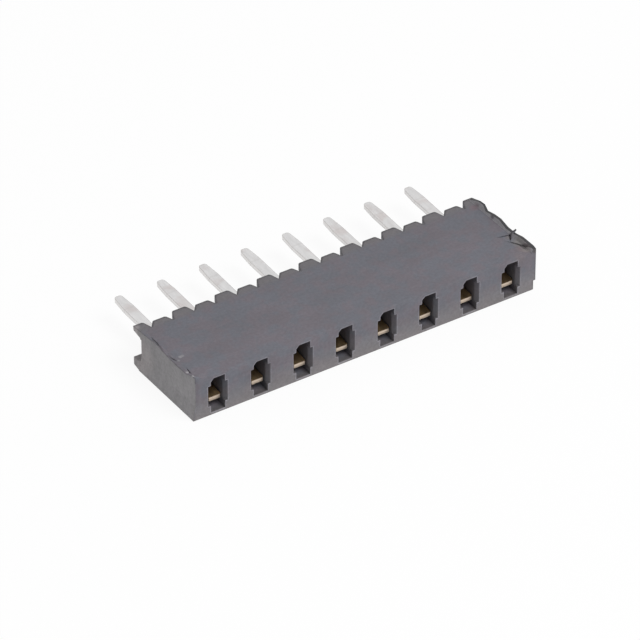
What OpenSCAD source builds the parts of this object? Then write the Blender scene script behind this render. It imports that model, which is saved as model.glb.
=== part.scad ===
// Single-row female pin header, 2.54 mm pitch, low profile, cut from a longer strip.
// It lies on one long side: X runs along the row, the mouths face -Y, the tails point to +Y.
// The origin is at the middle of the bounding box, on the face that it lies on.

/* [Strip] */
// Number of ways, each a cavity with one contact
ways = 8; // [2:1:24]
// Spacing of the contacts along the strip
pitch = 2.54; // [2.2:0.01:4]
// From the first contact to the cut left end
left_margin = 1.435; // [1.3:0.005:2]
// From the last contact to the broken right end
right_margin = 1.58; // [1.4:0.005:2.2]

/* [Housing] */
// Thickness of the housing, from one long side to the other
body_t = 2.4; // [2.2:0.05:3.2]
// Depth of the housing, from the mating face to the rear face between the feet
body_d = 5.1; // [4.6:0.1:8]
// Small chamfer along the edges of the mating face
edge_chamfer = 0.05; // [0.02:0.01:0.1]
// Wall between a cavity and each long side
cavity_wall = 0.17; // [0.15:0.01:0.35]
// Width of a cavity along the strip
cavity_w = 0.84; // [0.75:0.01:1]
// Wall behind a cavity, which the tail goes through
rear_wall = 0.5; // [0.4:0.05:1]
// Size of the bevel that fills the upper left corner of each mouth
mouth_bevel = 0.18; // [0.05:0.01:0.25]
// Length of that bevel, which ends in front of the springs
bevel_len = 1.6; // [0.5:0.1:1.8]

/* [Mouth] */
// Width of the pin's lead-in at the mating face
lead_w = 1.18; // [1.05:0.01:1.4]
// Height of the pin's lead-in
lead_h = 1.24; // [0.9:0.01:1.4]
// Depth over which the lead-in narrows to the cavity
lead_d = 0.25; // [0.2:0.05:1]

/* [Feet] */
// Height of the long feet, which stand between the contacts
long_foot_h = 0.72; // [0.55:0.01:1]
// Height of the short feet, which stand at the contacts
short_foot_h = 0.54; // [0.3:0.01:0.55]
// Thickness of the lower feet where they leave the rear face, and at the long ones' ends
low_foot_t = [0.6, 0.48]; // [0.35:0.01:0.7]
// Thickness of the upper feet where they leave the rear face, and at the long ones' ends
high_foot_t = [0.45, 0.32]; // [0.25:0.01:0.7]
// Width of a long foot's end, along the strip
long_foot_w = 0.78; // [0.6:0.01:1]
// Width of a short foot's end, along the strip
short_foot_w = 0.71; // [0.5:0.01:0.9]
// How far a foot's end leans towards the right end
foot_skew = 0.065; // [0:0.005:0.15]
// How much shallower the notch to the left of a short foot is than the one to its right
notch_step = 0.1; // [0:0.01:0.2]
// Radius of the corners at a foot's end, seen from above
foot_r = 0.25; // [0.05:0.01:0.27]
// Radius that rounds a foot's end over to its two faces
foot_nose_r = 0.06; // [0.04:0.01:0.12]

/* [Contact] */
// Thickness of the strip that the contact is stamped from
stock_t = 0.23; // [0.15:0.01:0.25]
// Gap between the contact and each side of its cavity
side_gap = 0.05; // [0.02:0.01:0.1]
// Gap between the contact's base and the long walls and rear wall
base_gap = 0.03; // [0.01:0.01:0.05]
// Length of the base, which is folded into a channel
base_len = 1.25; // [1:0.05:1.5]
// Opening between the two leaves, before a pin spreads them
leaf_opening = 0.45; // [0.3:0.01:0.6]
// Distance of the lower leaf's end behind the mating face
leaf_recess = 0.33; // [0.2:0.01:0.5]
// Length of a leaf's flared nose, from its end to the place that grips the pin
leaf_nose = 1; // [0.6:0.05:1.1]
// Distance from the pin's axis to the middle of a leaf's end
leaf_flare = 0.47; // [0.36:0.01:0.5]
// How much further back the upper leaf ends, so that the two grip one after the other
leaf_stagger = 0.9; // [0.6:0.05:1]
// Length of a tail beyond the long feet
tail_len = 3.71; // [2:0.01:6]
// Width of a tail
tail_w = 0.6; // [0.4:0.01:0.66]
// Length of the tapered point of a tail
tail_point = 1.05; // [0.5:0.05:1.5]
// Width of a tail at its end, before the corners are rounded
tail_end_w = 0.43; // [0.35:0.01:0.5]
// Angle that the tails lean up, away from the face that the strip lies on
tail_lean = 2; // [0:0.1:4]

/* [Cut ends] */
// Height of the burr that the cutter raised along the edges
burr_h = 0.28; // [0.1:0.01:0.35]
// Height of the ledge that the break left low on the right end
ledge_h = 0.6; // [0.3:0.05:1]
// How far that ledge is set back from the rest of the break
ledge_in = 0.17; // [0.05:0.01:0.25]
// How far the cutter trimmed the last lower foot back at its outer corner
trim_in = 0.1; // [0.02:0.01:0.2]

/* [Hidden] */
plastic = [0.44, 0.43, 0.46];
tinned = [0.8, 0.79, 0.77];
arc_steps = 6;
over = 0.5;
row_l = (ways - 1) * pitch;
seat_y = body_d + long_foot_h;
mid_z = body_t / 2;
cavity_h = body_t - 2 * cavity_wall;
cavity_end = body_d - rear_wall;
// Gap between a tail and its hole, and the stretch of straight tail outside the hole.
tail_gap = 0.05;
tail_straight = 0.2;
// Radii of the bends in the leaves, and of the end corners of leaf and tail.
leaf_bend_r = 0.8;
leaf_corner_r = 0.08;
tail_corner_r = 0.17;
tip_y = seat_y + tail_len;
// The first contact and the mating face are placed so that the bounding box is centred.
first_x = (left_margin - right_margin - row_l) / 2;
front_y = -tip_y / 2;

// Burr along the top edge of an end: share of the body's depth, then share of the burr's height.
left_burr = [[0, 0.86], [0.05, 0.82], [0.16, 0.12], [0.31, 0.05], [0.46, 0.05], [0.58, 0.3],
    [0.74, 0.66], [0.82, 0.36], [0.94, 0.12], [1.02, 0.05]];
right_burr = [[0, 0.56], [0.05, 0.7], [0.24, 0.74], [0.31, 0.55], [0.38, 0.42], [0.47, 0.35], [0.61, 0.74],
    [0.72, 0.57], [0.83, 0.36], [0.9, 0.96], [0.98, 0.86], [1.02, 0.66], [1.08, 0.3], [1.12, 0.1]];
burr_w = 0.32;
burr_crest_w = 0.16;
corner_burr_w = 0.85;
corner_burr_d = 0.5;

// Face that the cutter left on the left end: share of the body's height, then mm inwards.
cut_line = [[0, 0], [0.16, 0.01], [0.36, 0.12], [0.85, 0.12], [1, 0.09]];
// Wander of the break along the right end: share of the body's depth, then mm inwards.
break_line = [[0, 0.04], [0.05, 0.02], [0.21, 0.03], [0.34, 0.1], [0.43, 0.08], [0.48, 0.08],
    [0.61, 0.05], [0.73, 0.05], [0.82, 0.11], [0.9, 0.05], [0.98, 0.06], [1.02, 0.07]];

// Cracks in the top face at the broken end and nicks at the cut end: mm inwards, mm from the mouths.
cracks = [[[1.12, 2.1], [0.85, 2.04], [0.55, 1.98], [0.3, 1.9], [0.02, 1.78]],
    [[0.9, 1.62], [0.7, 1.4], [0.5, 1.08], [0.3, 0.72], [0.22, 0.4], [0.2, 0.04]],
    [[0.3, 2], [0.4, 1.8], [0.5, 1.64], [0.64, 1.46]]];
nicks = [[[0.27, 4.4], [0.2, 4.05], [0.17, 3.6], [0.16, 3.05]], [[0.16, 2.6], [0.24, 2.25], [0.34, 1.92]],
    [[0.4, 1.3], [0.33, 0.85], [0.22, 0.4]]];
crack_w = 0.11;
nick_w = 0.07;
crack_d = 0.14;
nick_d = 0.1;

// Splinter that points out over the break, in X and Z from its own tip line at the top face.
splinter_y = 1.8;
splinter_t = 0.1;
splinter = [[-0.42, -0.1], [-0.14, -0.1], [-0.11, 0.12], [0, 0.26], [-0.12, 0.22], [-0.36, 0.16]];

// Points of an arc of radius r that rounds the corner b between a and c.
function corner(a, b, c, r) =
    let (u = (a - b) / norm(a - b),
        v = (c - b) / norm(c - b),
        half = acos(max(-1, min(1, u * v))) / 2,
        m = b + (u + v) / norm(u + v) * r / sin(half),
        p = b + u * r / tan(half) - m,
        q = b + v * r / tan(half) - m,
        turn = (p[0] * q[1] - p[1] * q[0] > 0 ? 1 : -1) * (180 - 2 * half))
    [for (k = [0:arc_steps]) let (w = turn * k / arc_steps)
        m + [p[0] * cos(w) - p[1] * sin(w), p[0] * sin(w) + p[1] * cos(w)]];

// A path through pts whose inner corners are rounded by the radii in r.
function bent(pts, r) = let (last = len(pts) - 1) concat([pts[0]],
    [for (k = [1:last - 1]) each corner(pts[k - 1], pts[k], pts[k + 1], r[k - 1])], [pts[last]]);

// Unit vector at a right angle to the path at point k.
function across(path, k) =
    let (a = path[max(0, k - 1)],
        b = path[min(len(path) - 1, k + 1)],
        d = (b - a) / norm(b - a))
    [-d[1], d[0]];

// Outline of a strip of thickness t whose middle follows the path.
function band(path, t) = let (last = len(path) - 1) concat(
    [for (k = [0:last]) path[k] + across(path, k) * t / 2],
    [for (k = [last:-1:0]) path[k] - across(path, k) * t / 2]);

// Outline of a slit along a path, as wide as w in the middle and pointed at both ends.
function slit(path, w) = let (last = len(path) - 1) concat(
    [for (k = [0:last]) path[k] + across(path, k) * w / 2 * sin(180 * k / last)],
    [for (k = [last - 1:-1:1]) path[k] - across(path, k) * w / 2 * sin(180 * k / last)]);

// Extrudes an outline drawn in Y and Z along X, over a width centred on X = 0.
module along_x(width) {
    rotate([90, 0, 90]) translate([0, 0, -width / 2]) linear_extrude(width) children();
}

module at_strip() {
    translate([first_x, front_y, 0]) children();
}

// Plan of a foot: a skewed trapezoid with rounded corners, its base below the rear face.
// The sides begin at the heights in root_y, left and right.
module foot_plan(base_w, end_w, h, root_y) {
    left = [-end_w / 2 + foot_skew, h];
    right = [end_w / 2 + foot_skew, h];
    polygon(concat([[-base_w / 2, -over]],
        bent([[-base_w / 2, root_y[0]], left, right, [base_w / 2, root_y[1]]], [foot_r, foot_r]),
        [[base_w / 2, -over]]));
}

// One foot on the lower long side, which all thin out from the rear face at the same slope.
module foot(base_w, end_w, h, root_y, t) {
    slope = (t[0] - t[1]) / long_foot_h;
    root_t = t[0] + slope * over;
    end_t = t[0] - slope * h;
    intersection() {
        linear_extrude(root_t) foot_plan(base_w, end_w, h, root_y);
        along_x(2 * base_w)
            polygon(bent([[-over, 0], [h, 0], [h, end_t], [-over, root_t]], [foot_nose_r, foot_nose_r]));
    }
}

// The row of feet along the lower long side: a short one at each contact, a long one between.
module foot_row(t) {
    half = pitch / 2;
    for (i = [0:ways - 1]) {
        translate([i * pitch, body_d, 0]) foot(half, short_foot_w, short_foot_h, [notch_step, 0], t);
    }
    for (i = [0:ways]) {
        translate([(i - 0.5) * pitch, body_d, 0])
            foot(half, long_foot_w, long_foot_h, [0, notch_step], t);
    }
}

// Plan of the whole strip between its two ends; the right one wanders as the plastic broke.
module end_to_end() {
    x = row_l + right_margin;
    polygon(concat([[-left_margin, -over], [x - break_line[0][1], -over]],
        [for (p = break_line) [x - p[1], p[0] * body_d]],
        [[x - break_line[len(break_line) - 1][1], seat_y + over], [-left_margin, seat_y + over]]));
}

// What the cutter took away beyond the face of the left end, from X = 0 outwards, and at
// the outer corner of the last lower foot.
module offcut() {
    last = cut_line[len(cut_line) - 1];
    translate([0, seat_y + over, 0]) rotate([90, 0, 0]) linear_extrude(seat_y + 2 * over)
        polygon(concat([[-over, -over], [cut_line[0][1], -over]], [for (p = cut_line) [p[1], p[0] * body_t]],
            [[last[1], 2 * body_t], [-over, 2 * body_t]]));
    translate([0, 0, -over]) linear_extrude(mid_z + over)
        polygon([[-over, body_d + notch_step], [trim_in / 4, body_d + notch_step], [trim_in, seat_y],
            [trim_in, seat_y + over], [-over, seat_y + over]]);
}

// Body without cavities: a bar with chamfered front edges, and the feet along both long sides.
module bar() {
    c = edge_chamfer;
    translate([row_l / 2, 0, 0]) along_x(row_l + 2 * (left_margin + right_margin))
        polygon([[0, c], [c, 0], [body_d, 0], [body_d, body_t], [c, body_t], [0, body_t - c]]);
    foot_row(low_foot_t);
    translate([0, 0, body_t]) mirror([0, 0, 1]) foot_row(high_foot_t);
}

// Raised burr on the top edge of one end, from X = 0 inwards along +X.
module burr(line) {
    intersection() {
        along_x(2 * burr_w) polygon(concat([[0, body_t - over]],
            [for (p = line) [p[0] * body_d, body_t + p[1] * burr_h]],
            [[line[len(line) - 1][0] * body_d, body_t - over]]));
        translate([0, seat_y, 0]) rotate([90, 0, 0]) linear_extrude(seat_y)
            polygon([[0, body_t - over], [burr_w, body_t - over], [burr_w, body_t],
                [burr_crest_w, body_t + burr_h], [0, body_t + burr_h]]);
    }
}

// The front left corner, which the cutter pushed up further along the mating face.
module corner_burr() {
    intersection() {
        translate([0, corner_burr_d, 0]) rotate([90, 0, 0]) linear_extrude(corner_burr_d)
            polygon([[0, body_t - over], [corner_burr_w, body_t - over], [corner_burr_w, body_t],
                [0, body_t + burr_h]]);
        along_x(2 * corner_burr_w)
            polygon([[0, body_t - over], [corner_burr_d, body_t - over], [corner_burr_d, body_t],
                [edge_chamfer, body_t + burr_h], [0, body_t + burr_h - edge_chamfer]]);
    }
}

// Slits in the top face that follow the paths, from X = 0 inwards along +X.
module slits(paths, w, depth) {
    for (path = paths) {
        translate([0, 0, body_t - depth]) linear_extrude(body_t) polygon(slit(path, w));
    }
}

// Space for one contact: the tall cavity, the lead-in at its mouth and the hole for the tail.
module cavity() {
    difference() {
        translate([-cavity_w / 2, -over, cavity_wall]) cube([cavity_w, cavity_end + over, cavity_h]);
        translate([-cavity_w / 2, bevel_len, cavity_wall + cavity_h])
            rotate([90, 0, 0]) linear_extrude(bevel_len + 2 * over)
                polygon([[-over, -mouth_bevel - over], [mouth_bevel + over, over], [-over, over]]);
    }
    narrow = (lead_w - cavity_w) / 2 / lead_d;
    translate([0, 0, mid_z - lead_h / 2]) linear_extrude(lead_h)
        polygon([[-lead_w / 2 - narrow * over, -over], [lead_w / 2 + narrow * over, -over],
            [cavity_w / 2, lead_d], [-cavity_w / 2, lead_d]]);
    hole_w = tail_w + 2 * tail_gap;
    hole_h = stock_t + 2 * tail_gap;
    translate([-hole_w / 2, cavity_end - over, mid_z - hole_h / 2])
        cube([hole_w, rear_wall + 2 * over, hole_h]);
}

// The bar with the burrs on both ends, cut to the wandering line of the break.
module broken_bar() {
    intersection() {
        union() {
            bar();
            translate([-left_margin, 0, 0]) {
                burr(left_burr);
                corner_burr();
            }
            translate([row_l + right_margin, 0, 0]) mirror([1, 0, 0]) burr(right_burr);
        }
        linear_extrude(2 * body_t) end_to_end();
    }
    translate([row_l + right_margin, splinter_y + splinter_t, body_t])
        rotate([90, 0, 0]) linear_extrude(splinter_t) polygon(splinter);
}

// Moulded housing, one piece: bar, feet, cavities and the two damaged ends. The last cube
// sets the ledge back that the break left low on the right end.
module housing() {
    color(plastic) at_strip() difference() {
        broken_bar();
        for (i = [0:ways - 1]) {
            translate([i * pitch, 0, 0]) cavity();
        }
        translate([-left_margin, 0, 0]) {
            offcut();
            slits(nicks, nick_w, nick_d);
        }
        translate([row_l + right_margin, 0, 0]) {
            mirror([1, 0, 0]) slits(cracks, crack_w, crack_d);
            translate([-ledge_in, -over, -over]) cube([over, seat_y + 2 * over, ledge_h + over]);
        }
    }
}

// Plan of the strip that makes the lower leaf, the base and the tail.
module strip_plan(w) {
    half_w = tail_w / 2;
    half_end = tail_end_w / 2;
    polygon(concat(
        bent([[0, leaf_recess], [w / 2, leaf_recess], [w / 2, cavity_end]], [leaf_corner_r]),
        [[half_w, cavity_end]],
        bent([[half_w, tip_y - tail_point], [half_end, tip_y], [-half_end, tip_y],
            [-half_w, tip_y - tail_point]], [tail_corner_r, tail_corner_r]),
        [[-half_w, cavity_end]],
        bent([[-w / 2, cavity_end], [-w / 2, leaf_recess], [0, leaf_recess]], [leaf_corner_r])));
}

// One stamped and folded contact: two leaves on a channel-shaped base, and the flat tail.
module contact(i) {
    w = cavity_w - 2 * side_gap;
    low = cavity_wall + base_gap + stock_t / 2;
    high = body_t - low;
    riser_y = cavity_end - base_gap - stock_t / 2;
    root_y = riser_y - base_len;
    grip = leaf_opening / 2 + stock_t / 2;
    bend_r = stock_t;
    set_y = body_d + tail_straight;
    lower_path = bent([[leaf_recess, mid_z - leaf_flare], [leaf_recess + leaf_nose, mid_z - grip],
        [root_y, low], [riser_y, low], [riser_y, mid_z], [set_y, mid_z],
        [tip_y, mid_z + (tip_y - set_y) * tan(tail_lean)]],
        [leaf_bend_r, leaf_bend_r, bend_r, bend_r, leaf_bend_r]);
    nose_y = leaf_recess + leaf_stagger;
    upper_path = bent([[nose_y, mid_z + leaf_flare], [nose_y + leaf_nose, mid_z + grip],
        [root_y, high], [riser_y - 2 * bend_r, high]], [leaf_bend_r, leaf_bend_r]);
    color(tinned) at_strip() translate([(i - 1) * pitch, 0, 0]) {
        intersection() {
            along_x(2 * w) polygon(band(lower_path, stock_t));
            linear_extrude(2 * body_t) strip_plan(w);
        }
        along_x(w) polygon(band(upper_path, stock_t));
        translate([-w / 2, root_y + bend_r, low]) cube([stock_t, base_len - 3 * bend_r, high - low]);
    }
}

housing();
for (i = [1:ways]) contact(i);
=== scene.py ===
"""Female pin header strip, lying on one long side: looks, light and camera on the CAD frame."""
from math import radians

import bpy
from mathutils import Euler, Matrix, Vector


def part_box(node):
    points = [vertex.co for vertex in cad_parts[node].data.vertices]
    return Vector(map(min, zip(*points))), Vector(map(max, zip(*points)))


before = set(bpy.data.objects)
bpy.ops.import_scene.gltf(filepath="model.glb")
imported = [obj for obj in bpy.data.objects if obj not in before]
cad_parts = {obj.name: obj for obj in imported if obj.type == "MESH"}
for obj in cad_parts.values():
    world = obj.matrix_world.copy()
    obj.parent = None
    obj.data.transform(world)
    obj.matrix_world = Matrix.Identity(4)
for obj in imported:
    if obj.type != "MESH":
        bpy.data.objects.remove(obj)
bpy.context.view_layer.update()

# Housing
# One bar moulded in dark grey glass-filled PBT, snipped off a longer strip at the left and
# broken off at the right. The tool surface is finely matt; the cut ends are paler and torn.
MM = 0.001
MOULDED_GREY = "666168"
COOLER_GREY = "61626A"
CUT_GREY = "878587"
# Painted light from the white floor, on the lower front, mouths and cut ends.
FLOOR_GLOW_GREY = "787475"
FOOT_GREY = "686567"
# Painted light on the break's slopes that face away from the lamp.
SLOPE_LIGHT_GREY = "8A888C"
# Painted highlight on the front edges of the mouths.
LIP_HIGHLIGHT_GREY = "94929A"
# Painted shade along edges that turn away from the light.
EDGE_SHADE_GREY = "1E1D1F"

# Places on the bar in mm. The CAD box gives its ends and the face with the mouths. The flat
# top lies below the burrs, the feet start at the rear wall, and no cavity reaches the last
# stretch before an end.
LEFT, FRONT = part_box("housing")[0].xy / MM
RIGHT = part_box("housing")[1].x / MM
FLAT_TOP = 2.4
MID_HEIGHT = FLAT_TOP / 2
REAR_WALL = 0.335
CAVITY_END = REAR_WALL - 0.5
END_STRETCH = 0.5

# Sizes of the marks in mm. The real grain is finer than a pixel, so it is drawn coarser.
CUT_REACH = 0.3
# Height and depth of the painted floor light.
FLOOR_GLOW_HEIGHT = 1.5
FLOOR_GLOW_DEPTH = 0.55
SKIN_GRAIN = 0.16
FLOW_MARK = 1.1
BLOTCH = 0.7
CUT_STREAK = 0.6
EDGE_ROUNDING = 0.1
# Reach of the painted edge shade.
EDGE_SHADE_REACH = 0.3

# Spots, first those of the break and then those of the cutter: centre, reach, colour. Most are
# bruises; some of the break's, in its hollows and crack, are painted light that lifts their shade.
BRUISES_AND_LIGHT = (
    ((9.95, -4.2, 2.4), 0.55, "6E6467"),
    ((9.4, -4.65, 2.3), 0.45, "6A6368"),
    ((10.15, -3.65, 2.5), 0.55, "747171"),
    ((10.05, -4.35, 2.4), 0.35, "7A7474"),
    ((9.87, -3.0, 2.35), 0.22, "6A6668"),
    ((10.3, -4.75, 2.45), 0.2, "474344"),
    ((10.2, -1.15, 2.5), 0.2, "57545A"),
    ((9.93, 0.2, 2.45), 0.33, "6B5F65"),
    ((-10.4, 0.4, 1.0), 1.5, "989394"),
    ((-10.35, 0.9, 2.2), 0.4, "A29C9D"),
    ((-10.3, 0.8, 0.5), 0.45, "858082"),
    ((-9.62, -2.5, 2.4), 0.12, "7E7C80"),
    ((-9.76, -2.52, 2.4), 0.13, "868488"),
    ((-10.0, -2.75, 2.45), 0.12, "868488"),
    ((-10.18, -3.85, 2.5), 0.13, "A19FA2"),
    ((-10.22, -4.5, 2.6), 0.12, "A19FA2"),
)


def rgb(code):
    """sRGB hex to the linear colour that Blender's sockets take."""
    parts = [int(code[k:k + 2], 16) / 255 for k in (0, 2, 4)]
    return [c / 12.92 if c <= 0.04045 else ((c + 0.055) / 1.055) ** 2.4 for c in parts] + [1]


def add(tree, kind, links=None, **settings):
    """Adds a shader node with its settings, links or sets its inputs, and returns its output."""
    node = tree.nodes.new("ShaderNode" + kind)
    for name, value in settings.items():
        setattr(node, name, value)
    for name, value in (links or {}).items():
        if isinstance(value, bpy.types.NodeSocket):
            tree.links.new(value, node.inputs[name])
        else:
            node.inputs[name].default_value = value
    return next((output for output in node.outputs if output.enabled), None)


def lie_of(tree):
    """The place in mm and the flat normal of a point on the surface, each also as X, Y and Z."""
    place = add(tree, "TexCoord").node.outputs["Object"]
    in_mm = add(tree, "VectorMath", {0: place, "Scale": 1 / MM}, operation="SCALE")
    at = add(tree, "SeparateXYZ", {0: in_mm}).node.outputs
    flat_normal = add(tree, "NewGeometry").node.outputs["True Normal"]
    facing = add(tree, "SeparateXYZ", {0: flat_normal}).node.outputs
    return in_mm, at, flat_normal, facing


pbt = bpy.data.materials.new("moulded_glass_filled_pbt")
pbt.use_nodes = True
tree = pbt.node_tree
surface = tree.nodes["Principled BSDF"]
surface.inputs["IOR"].default_value = 1.5
in_mm, at, flat_normal, facing = lie_of(tree)

# The moulding flows along the bar, so its cloudy marks are drawn out along X, and painted light
# and shade make it a little lighter at the mouths than at the feet. A MapRange turns its value,
# at 0, from the range at 1 and 2 to the one at 3 and 4; noise lies mostly between 0.3 and 0.7.
along = add(tree, "VectorMath", {0: in_mm, 1: (0.5, 1.1, 1.1)}, operation="MULTIPLY")
flow = add(tree, "TexNoise", {"Vector": along, "Scale": 1 / FLOW_MARK, "Detail": 5, "Roughness": 0.6})
grain = add(tree, "TexNoise", {"Vector": in_mm, "Scale": 1 / SKIN_GRAIN, "Detail": 3, "Roughness": 0.7})
blotch = add(tree, "TexNoise", {"Vector": in_mm, "Scale": 1 / BLOTCH, "Detail": 3})
cloudy = add(tree, "MapRange", {0: flow, 1: 0.3, 2: 0.7, 3: 0.88, 4: 1.12})
speckled = add(tree, "MapRange", {0: grain, 1: 0.3, 2: 0.7, 3: 0.87, 4: 1.13})
painted_light_to_front = add(tree, "MapRange", {0: at["Y"], 1: FRONT, 2: REAR_WALL, 3: 1.06, 4: 0.955})
tones = [cloudy, speckled, painted_light_to_front]
cooler = add(tree, "MapRange", {0: blotch, 1: 0.42, 2: 0.58})
greys = {"Factor": cooler, "A": rgb(MOULDED_GREY), "B": rgb(COOLER_GREY)}
colour = add(tree, "Mix", greys, data_type="RGBA")

# The cutter and the break leave paler plastic with upright streaks, and the cut faces are
# drawn lighter near the floor and deeper in tone near the top.
cut = 0.0
for side, end in ((-1, LEFT), (1, RIGHT)):
    inner = end - CUT_REACH * side
    near_end = add(tree, "MapRange", {0: at["X"], 1: inner, 2: inner + 0.1 * side})
    outward = add(tree, "MapRange", {0: facing["X"], 1: 0.5 * side, 2: 0.8 * side})
    end_face = add(tree, "Math", {0: near_end, 1: outward}, operation="MULTIPLY")
    cut = add(tree, "Math", {0: end_face, 1: cut}, operation="MAXIMUM")
upright = add(tree, "VectorMath", {0: in_mm, 1: (1, 1, 0.25)}, operation="MULTIPLY")
streak = add(tree, "TexNoise", {"Vector": upright, "Scale": 1 / CUT_STREAK, "Detail": 4, "Roughness": 0.6})
streaked = add(tree, "MapRange", {0: streak, 1: 0.3, 2: 0.7, 3: 0.9, 4: 1.1})
lightened = add(tree, "MapRange", {0: at["Z"], 1: 0.1, 2: FLAT_TOP - 0.1, 3: 1.12, 4: 0.9})
drag = add(tree, "Math", {0: streaked, 1: lightened}, operation="MULTIPLY")
tones.append(add(tree, "Mix", {"Factor": cut, "A": 1.0, "B": drag}))
colour = add(tree, "Mix", {"Factor": cut, "A": colour, "B": rgb(CUT_GREY)}, data_type="RGBA")

# The lower part of the front, of the mouths and of the cut ends is painted paler, painted light
# as thrown up by the white floor, and the feet are a warmer grey on their upper side.
low = add(tree, "MapRange", {0: at["Z"], 1: FLOOR_GLOW_HEIGHT, 2: 0.0})
outside = add(tree, "MapRange", {0: at["Y"], 1: FRONT + FLOOR_GLOW_DEPTH, 2: FRONT})
floor_glow = add(tree, "Math", {0: low, 1: outside}, operation="MULTIPLY")
colour = add(tree, "Mix", {"Factor": floor_glow, "A": colour, "B": rgb(FLOOR_GLOW_GREY)}, data_type="RGBA")
at_feet = add(tree, "MapRange", {0: at["Y"], 1: REAR_WALL - 0.135, 2: REAR_WALL + 0.215, 4: 0.8})
top_side = add(tree, "MapRange", {0: facing["Z"], 1: 0.5, 2: 0.9})
on_feet = add(tree, "Math", {0: at_feet, 1: top_side}, operation="MULTIPLY")
colour = add(tree, "Mix", {"Factor": on_feet, "A": colour, "B": rgb(FOOT_GREY)}, data_type="RGBA")

# The break pushed plastic up into a burr, whose slopes facing away from the lamp are painted
# paler, painted light against their shade; then the spots of the table above are laid on.
slope_light = add(tree, "MapRange", {0: facing["X"], 1: -0.3, 2: -0.6})
at_break = add(tree, "MapRange", {0: at["X"], 1: RIGHT - END_STRETCH, 2: RIGHT - CUT_REACH})
upward = add(tree, "MapRange", {0: facing["Z"], 1: 0.2, 2: 0.4})
for share in (at_break, upward):
    slope_light = add(tree, "Math", {0: slope_light, 1: share}, operation="MULTIPLY")
colour = add(tree, "Mix", {"Factor": slope_light, "A": colour, "B": rgb(SLOPE_LIGHT_GREY)}, data_type="RGBA")
for centre, reach, code in BRUISES_AND_LIGHT:
    away = add(tree, "VectorMath", {0: in_mm, 1: centre}, operation="DISTANCE")
    spot = add(tree, "MapRange", {0: away, 1: reach, 2: 0.4 * reach})
    colour = add(tree, "Mix", {"Factor": spot, "A": colour, "B": rgb(code)}, data_type="RGBA")

# A painted highlight lines the front edges of the mouths, here more and there less.
rounded = add(tree, "Bevel", {"Radius": EDGE_ROUNDING * MM}, samples=8)
lip_highlight = add(tree, "VectorMath", {0: rounded, 1: flat_normal}, operation="DISTANCE")
lip_highlight = add(tree, "MapRange", {0: lip_highlight, 1: 0.05, 2: 0.3})
forward = add(tree, "MapRange", {0: facing["Y"], 1: -0.7, 2: -0.9})
off_edges = add(tree, "Math", {0: at["Z"], 1: MID_HEIGHT, 2: MID_HEIGHT - 0.1}, operation="COMPARE")
off_break = add(tree, "MapRange", {0: at_break, 3: 1.0, 4: 0.0})
uneven = add(tree, "MapRange", {0: blotch, 1: 0.4, 2: 0.6, 3: 0.45, 4: 1.0})
for share in (forward, off_edges, off_break, uneven):
    lip_highlight = add(tree, "Math", {0: lip_highlight, 1: share}, operation="MULTIPLY")
colour = add(tree, "Mix", {"Factor": lip_highlight, "A": colour, "B": rgb(LIP_HIGHLIGHT_GREY)}, data_type="RGBA")

# Painted shade deepens the skin in the cavities, while their floors further in get painted light,
# a little above the outside's tone; the long bevel along the upper front edge is drawn in a deeper
# tone too.
inside = add(tree, "Math", {0: at["Z"], 1: MID_HEIGHT, 2: MID_HEIGHT - 0.15}, operation="COMPARE")
past_mouth = add(tree, "MapRange", {0: at["Y"], 1: FRONT - 0.003, 2: FRONT + 0.065})
before_wall = add(tree, "MapRange", {0: at["Y"], 1: CAVITY_END + 0.15, 2: CAVITY_END})
along_row = add(tree, "Math", {0: at["X"], 1: 0.0, 2: RIGHT - END_STRETCH}, operation="COMPARE")
for share in (past_mouth, before_wall, along_row):
    inside = add(tree, "Math", {0: inside, 1: share}, operation="MULTIPLY")
further_in = add(tree, "MapRange", {0: at["Y"], 1: FRONT + 0.115, 2: FRONT + 0.565})
on_floor = add(tree, "MapRange", {0: facing["Z"], 1: 0.5, 2: 0.7})
lit = add(tree, "Math", {0: on_floor, 1: further_in}, operation="MULTIPLY")
cavity_shade = add(tree, "MapRange", {0: lit, 3: 0.6, 4: 1.1})
tones.append(add(tree, "Mix", {"Factor": inside, "A": 1.0, "B": cavity_shade}))
bevelled = add(tree, "VectorMath", {0: flat_normal, 1: (0, -0.707, 0.707)}, operation="DOT_PRODUCT")
tones.append(add(tree, "MapRange", {0: bevelled, 1: 0.95, 2: 0.99, 3: 1.0, 4: 0.87}))

# Thin dark bands of painted shade lie along the break, the ends of the feet and the front's end
# edges, where a normal rounded over their reach turns away from the light; the crest of the burr
# is drawn dark as well.
turned = add(tree, "Bevel", {"Radius": EDGE_SHADE_REACH * MM}, samples=8)
turn = add(tree, "SeparateXYZ", {0: turned}).node.outputs
behind_wall = add(tree, "MapRange", {0: at["Y"], 1: REAR_WALL - 0.035, 2: REAR_WALL + 0.015})
upper = add(tree, "MapRange", {0: at["Z"], 1: MID_HEIGHT - 0.2, 2: MID_HEIGHT + 0.2})
to_rear = turn["Y"]
for share in (behind_wall, upper):
    to_rear = add(tree, "Math", {0: to_rear, 1: share}, operation="MULTIPLY")
to_rear = add(tree, "MapRange", {0: to_rear, 1: 0.1, 2: 0.35, 4: 0.7})
to_break = add(tree, "Math", {0: turn["X"], 1: at_break}, operation="MULTIPLY")
to_break = add(tree, "MapRange", {0: to_break, 1: 0.0, 2: 0.06, 4: 0.95})
crest = add(tree, "MapRange", {0: at["Z"], 1: FLAT_TOP + 0.02, 2: FLAT_TOP + 0.06, 4: 0.85})
level = add(tree, "MapRange", {0: facing["Z"], 1: 0.6, 2: 0.75})
for share in (level, at_break):
    crest = add(tree, "Math", {0: crest, 1: share}, operation="MULTIPLY")
edge_shade = to_rear
for other in (to_break, crest):
    edge_shade = add(tree, "Math", {0: edge_shade, 1: other}, operation="MAXIMUM")
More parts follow.
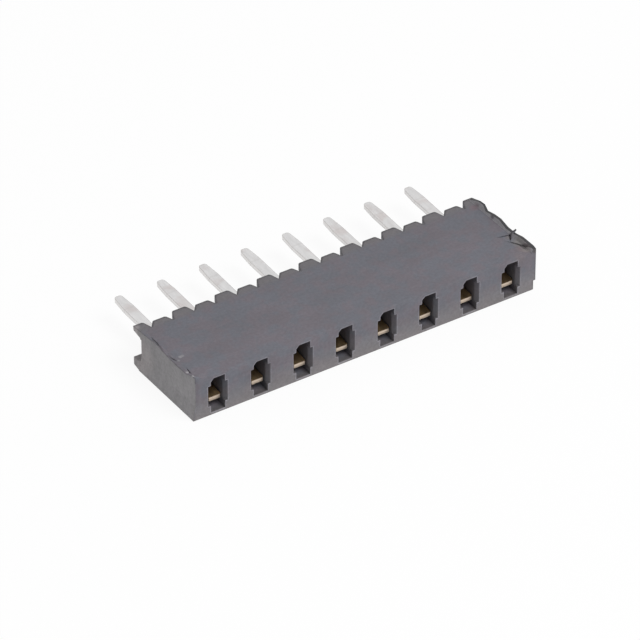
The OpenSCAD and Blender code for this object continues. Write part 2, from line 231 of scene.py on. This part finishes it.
edge_shade = add(tree, "Math", {0: edge_shade, 1: upward}, operation="MULTIPLY")
sideways = add(tree, "Math", {0: turn["X"]}, operation="ABSOLUTE")
end_edge_shade = add(tree, "MapRange", {0: sideways, 1: 0.15, 2: 0.5, 4: 0.25})
past_row = add(tree, "Math", {0: 1.0, 1: along_row}, operation="SUBTRACT")
for share in (forward, past_row):
    end_edge_shade = add(tree, "Math", {0: end_edge_shade, 1: share}, operation="MULTIPLY")
edge_shade = add(tree, "Math", {0: edge_shade, 1: end_edge_shade}, operation="MAXIMUM")
colour = add(tree, "Mix", {"Factor": edge_shade, "A": colour, "B": rgb(EDGE_SHADE_GREY)}, data_type="RGBA")
for tone in tones:
    colour = add(tree, "VectorMath", {0: colour, "Scale": tone}, operation="SCALE")
tree.links.new(colour, surface.inputs["Base Color"])

# The matt skin is duller where its flow marks are pale, and the torn ends are rough.
dull = add(tree, "MapRange", {0: flow, 1: 0.3, 2: 0.7, 3: 0.55, 4: 0.68})
tree.links.new(dull, surface.inputs["Roughness"])
skin = add(tree, "Bump", {"Height": grain, "Distance": 0.01 * MM, "Strength": 0.5, "Normal": rounded})
torn = add(tree, "Math", {0: streak, 1: cut}, operation="MULTIPLY")
rough = add(tree, "Bump", {"Height": torn, "Distance": 0.04 * MM, "Normal": skin})
tree.links.new(rough, surface.inputs["Normal"])

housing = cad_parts["housing"]
housing.data.materials.clear()
housing.data.materials.append(pbt)

# Contacts
# Eight springs stamped and folded from 0.23 mm phosphor bronze and pushed in from the front.
# The leaves carry a thin gold flash; the flat tails are dipped in tin, dull and slightly streaky.
TIN = "D4D3D3"
DULL_TIN = "CBC6C5"
SHEARED_TIN = "E0DEDD"
# Deeper grey on the tails' edges and on the line where the point begins.
EDGE_LINE_GREY = "A9A5A2"
GOLD_FLASH = "D2B58A"
SHEARED_GOLD = "D2C2B0"
WAYS = 8
TAIL_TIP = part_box("contact_1")[1].y / MM
POINT_LENGTH = 1.165
LINE_REACH = 0.06
DIE_ROUNDING = 0.05
# The streaks of rolled strip are finer than a pixel, so they are drawn coarser.
TIN_STREAK = 0.77
TIN_PATCH = 0.91

bronze = bpy.data.materials.new("tin_plated_phosphor_bronze")
bronze.use_nodes = True
tree = bronze.node_tree
surface = tree.nodes["Principled BSDF"]
surface.inputs["Metallic"].default_value = 1
in_mm, at, flat_normal, facing = lie_of(tree)

# The tin set in duller patches and in streaks along the tail. The sheared sides are brighter.
drawn = add(tree, "VectorMath", {0: in_mm, 1: (6, 1, 6)}, operation="MULTIPLY")
streak = add(tree, "TexNoise", {"Vector": drawn, "Scale": 1 / TIN_STREAK, "Detail": 4})
patchy = add(tree, "TexNoise", {"Vector": in_mm, "Scale": 1 / TIN_PATCH, "Detail": 3})
dulled = add(tree, "MapRange", {0: patchy, 1: 0.52, 2: 0.68})
sheared = add(tree, "MapRange", {0: facing["Z"], 1: 0.6, 2: 0.3})
tin = add(tree, "Mix", {"Factor": dulled, "A": rgb(TIN), "B": rgb(DULL_TIN)}, data_type="RGBA")
tin = add(tree, "Mix", {"Factor": sheared, "A": tin, "B": rgb(SHEARED_TIN)}, data_type="RGBA")

# The edges are drawn in a deeper grey, and the die left a faint line across where the point
# begins.
rounded = add(tree, "Bevel", {"Radius": DIE_ROUNDING * MM}, samples=8)
turned = add(tree, "VectorMath", {0: rounded, 1: flat_normal}, operation="DISTANCE")
edge = add(tree, "MapRange", {0: turned, 1: 0.1, 2: 0.7})
line = add(tree, "Math", {0: at["Y"], 1: TAIL_TIP - POINT_LENGTH, 2: LINE_REACH}, operation="COMPARE")
line = add(tree, "Math", {0: line, 1: 0.15}, operation="MULTIPLY")
edge_and_line = add(tree, "Math", {0: edge, 1: line}, operation="MAXIMUM")
tin = add(tree, "Mix", {"Factor": edge_and_line, "A": tin, "B": rgb(EDGE_LINE_GREY)}, data_type="RGBA")
gold = add(tree, "Mix", {"Factor": sheared, "A": rgb(GOLD_FLASH), "B": rgb(SHEARED_GOLD)}, data_type="RGBA")
tinned = add(tree, "MapRange", {0: at["Y"], 1: REAR_WALL - 0.035, 2: REAR_WALL + 0.265})
colour = add(tree, "Mix", {"Factor": tinned, "A": gold, "B": tin}, data_type="RGBA")
tone = add(tree, "MapRange", {0: streak, 1: 0.3, 2: 0.7, 3: 0.94, 4: 1.05})
colour = add(tree, "VectorMath", {0: colour, "Scale": tone}, operation="SCALE")
tree.links.new(colour, surface.inputs["Base Color"])
dull = add(tree, "MapRange", {0: streak, 1: 0.3, 2: 0.7, 3: 0.32, 4: 0.5})
tree.links.new(dull, surface.inputs["Roughness"])
rolled = add(tree, "Bump", {"Height": streak, "Distance": 0.01 * MM, "Strength": 0.4})
tree.links.new(rolled, surface.inputs["Normal"])

for way in range(1, WAYS + 1):
    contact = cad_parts[f"contact_{way}"]
    contact.data.materials.clear()
    contact.data.materials.append(bronze)

# Floor
# A sheet of white paper, 1.2 m square, that the strip lies on. Nearly all of what is seen of it
# is plain white, and the rest is lit paper, which keeps the strip's soft shadow.
PAPER_SIDE = 1.2
PLAIN_SHARE = 0.9
PAPER_WHITE = "FCFCFC"
PURE_WHITE = "FFFFFF"


def looked_at(tree):
    """1 where the camera, a gloss or a glass looks at something white, 0 where it gives light."""
    ray = add(tree, "LightPath").node.outputs
    seen = 0.0
    for kind in ("Camera", "Glossy", "Transmission"):
        seen = add(tree, "Math", {0: ray[f"Is {kind} Ray"], 1: seen}, operation="MAXIMUM")
    return seen


bpy.ops.mesh.primitive_plane_add(size=PAPER_SIDE)
floor = bpy.context.object
floor.name = "paper_floor"
paper = bpy.data.materials.new("white_paper")
paper.use_nodes = True
tree = paper.node_tree
tree.nodes.clear()
plain = add(tree, "Math", {0: looked_at(tree), 1: PLAIN_SHARE}, operation="MULTIPLY")
matt = add(tree, "BsdfDiffuse", {"Color": rgb(PAPER_WHITE)})
white = add(tree, "Emission", {"Color": rgb(PURE_WHITE), "Strength": 1})
mixed = add(tree, "MixShader", {0: plain, 1: matt, 2: white})
add(tree, "OutputMaterial", {"Surface": mixed})
floor.data.materials.append(paper)

# Light
# A white tent all round, and one soft round lamp high in front, a little to the right. The
# tent is white where it is looked at, and gives about half as much light. Sizes are in metres.
TENT_LIGHT = 0.52
LAMP_SIZE = 0.25
LAMP_WATTS = 0.87
LAMP_PLACE = (0.10, -0.21, 0.31)

world = bpy.data.worlds.new("white_tent")
bpy.context.scene.world = world
world.use_nodes = True
tree = world.node_tree
tree.nodes.clear()
strength = add(tree, "MapRange", {0: looked_at(tree), 3: TENT_LIGHT, 4: 1})
tent = add(tree, "Background", {"Color": rgb(PURE_WHITE), "Strength": strength})
add(tree, "OutputWorld", {"Surface": tent})

lamp = bpy.data.objects.new("softbox", bpy.data.lights.new("softbox", "AREA"))
lamp.data.shape = "DISK"
lamp.data.size = LAMP_SIZE
lamp.data.energy = LAMP_WATTS
lamp.location = LAMP_PLACE
lamp.rotation_euler = Vector(LAMP_PLACE).to_track_quat("Z", "Y").to_euler()
bpy.context.collection.objects.link(lamp)

# Camera
# A long lens from the front left, as in the photograph. Its place comes from a fit to the pins
# and edges there: it turns about a point in the bar, and then moves a little across its view.
# Angles are in degrees and lengths in mm.
AZIMUTH = -33.333
ELEVATION = 35.823
LENS = 332.54
SENSOR = 36
TURNING_POINT = Vector((-0.0075, -2.765, 1.27))
DISTANCE = 300
MOVED_RIGHT = -1.2988
MOVED_UP = -0.2574
SIGHT = 10000

camera = bpy.data.objects.new("camera", bpy.data.cameras.new("camera"))
camera.data.lens = LENS
camera.data.sensor_width = SENSOR
camera.data.clip_end = MM * SIGHT
camera.rotation_euler = Euler((radians(90 - ELEVATION), 0, radians(AZIMUTH)))
right, up, back = camera.rotation_euler.to_matrix().transposed()
moved = MOVED_RIGHT * right + MOVED_UP * up
camera.location = MM * (TURNING_POINT + DISTANCE * back + moved)
bpy.context.collection.objects.link(camera)
bpy.context.scene.camera = camera
bpy.context.scene.view_settings.view_transform = "Standard"
